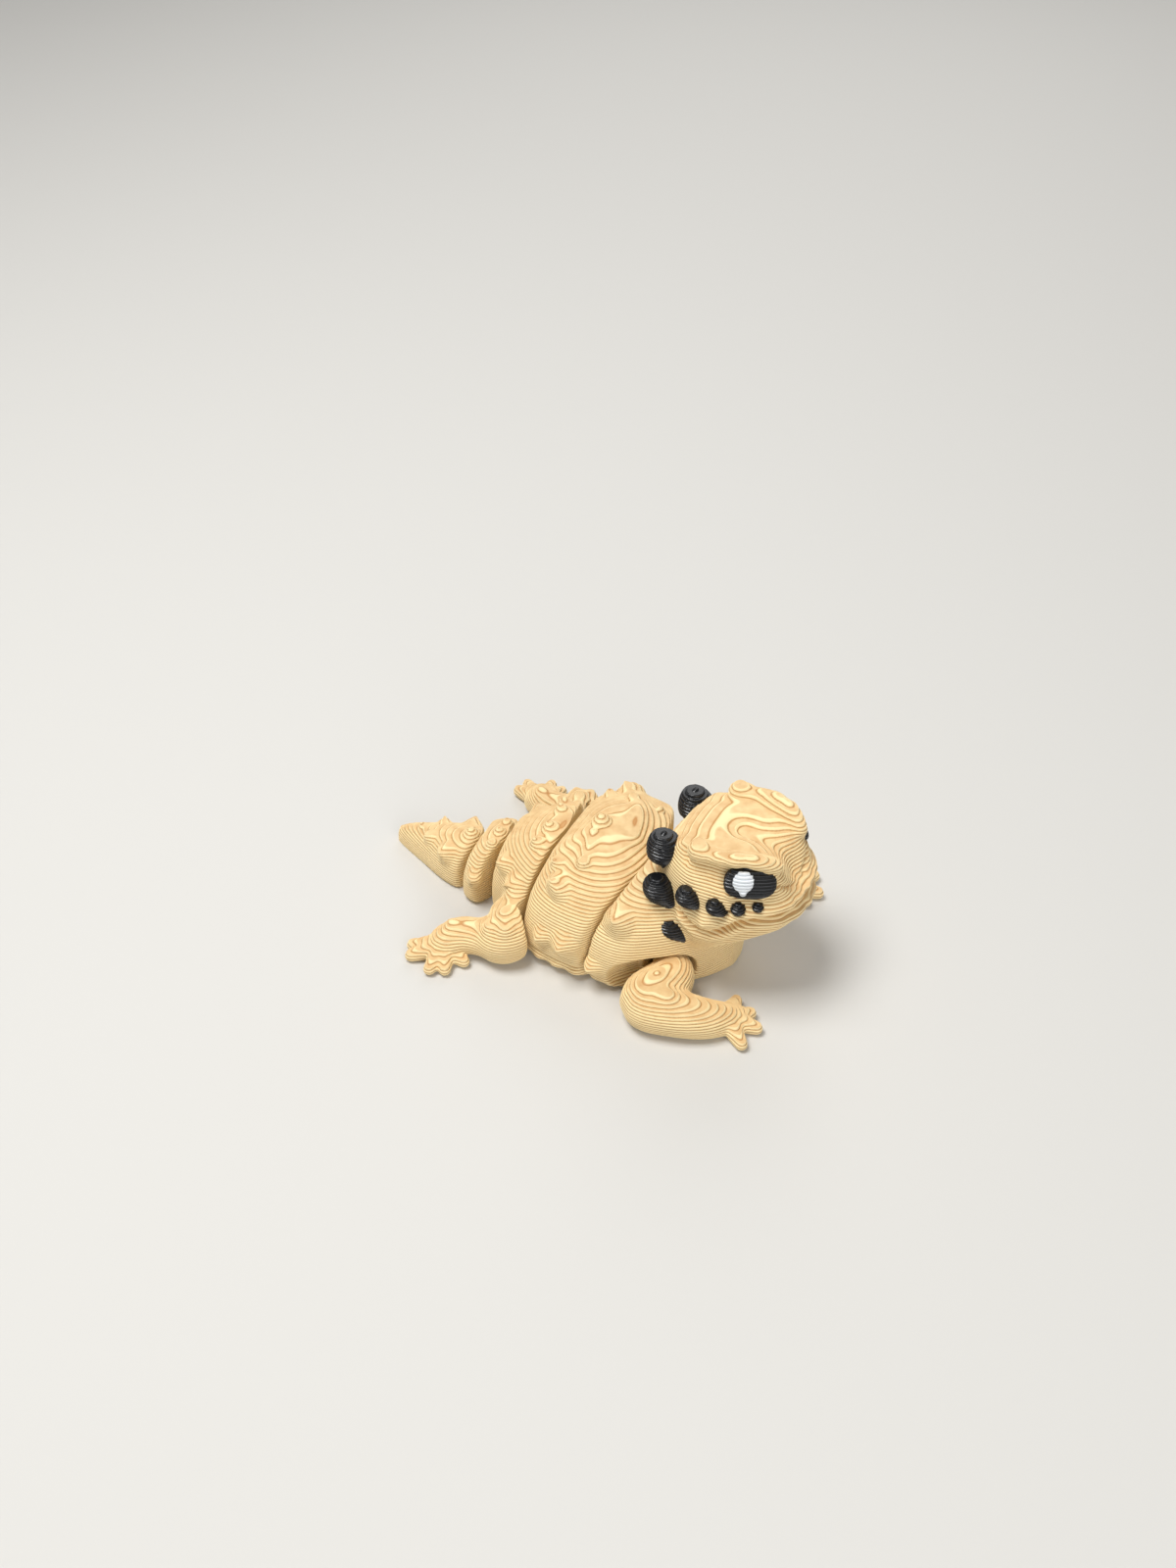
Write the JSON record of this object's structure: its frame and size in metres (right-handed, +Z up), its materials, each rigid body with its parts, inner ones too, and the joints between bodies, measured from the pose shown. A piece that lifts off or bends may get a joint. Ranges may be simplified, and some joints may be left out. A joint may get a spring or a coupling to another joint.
{
  "type": "printed toy horned lizard",
  "caption": "Layer-printed toy horned lizard, linked body pieces that turn side to side, swinging front legs, black head spikes and eyes",
  "frame": {"origin": "on the floor, below the middle of the whole toy's box as it stands", "axes": "+Z up, +X towards the nose, +Y towards the toy's left"},
  "size_m": [0.043, 0.0281, 0.017],
  "materials": {
    "tan_plastic": "matte tan PLA, printed in 0.28 mm layers that show as fine lines",
    "black_plastic": "black PLA, printed in the same layers, with a soft sheen on the ridges",
    "white_plastic": "white PLA, a small printed glint in the eye"
  },
  "bodies": {
    "middle": {"torso_mid": "tan_plastic"},
    "front": {"torso_front": "tan_plastic", "head": "tan_plastic", "spike_horn_left": "black_plastic", "spike_temple_left": "black_plastic", "spike_cheek_a_left": "black_plastic", "spike_cheek_b_left": "black_plastic", "spike_cheek_c_left": "black_plastic", "spike_cheek_d_left": "black_plastic", "spike_jaw_left": "black_plastic", "spike_horn_right": "black_plastic", "spike_temple_right": "black_plastic", "spike_cheek_a_right": "black_plastic", "spike_cheek_b_right": "black_plastic", "spike_cheek_c_right": "black_plastic", "spike_cheek_d_right": "black_plastic", "spike_jaw_right": "black_plastic", "eye_left": "black_plastic", "eye_right": "black_plastic", "glint_left": "white_plastic", "glint_right": "white_plastic"},
    "hip": {"torso_hip": "tan_plastic", "leg_rear_left": "tan_plastic", "leg_rear_right": "tan_plastic"},
    "disc": {"tail_disc": "tan_plastic"},
    "tail": {"tail_tip": "tan_plastic"},
    "arm_left": {"leg_front_left": "tan_plastic"},
    "arm_right": {"leg_front_right": "tan_plastic"}
  },
  "joints": [
    {"name": "front_turn", "type": "hinge", "parent": "middle", "child": "front", "pos_m": [0.00866, -0.00097, 0], "axis": [0, 0, 1], "range_deg": [-1, 9]},
    {"name": "hip_turn", "type": "hinge", "parent": "middle", "child": "hip", "pos_m": [0.00022, 0.00007, 0], "axis": [0, 0, 1], "range_deg": [-9, 1]},
    {"name": "disc_turn", "type": "hinge", "parent": "hip", "child": "disc", "pos_m": [-0.00659, 0.00008, 0], "axis": [0, 0, 1], "range_deg": [-10, 10]},
    {"name": "tail_turn", "type": "hinge", "parent": "disc", "child": "tail", "pos_m": [-0.01009, 0.00001, 0], "axis": [0, 0, 1], "range_deg": [-10, 10]},
    {"name": "arm_left_turn", "type": "hinge", "parent": "front", "child": "arm_left", "pos_m": [0.01107, 0.00377, 0], "axis": [0, 0, 1], "range_deg": [-24, 0]},
    {"name": "arm_right_turn", "type": "hinge", "parent": "front", "child": "arm_right", "pos_m": [0.00987, -0.00596, 0], "axis": [0, 0, 1], "range_deg": [-20, 4]}
  ]
}
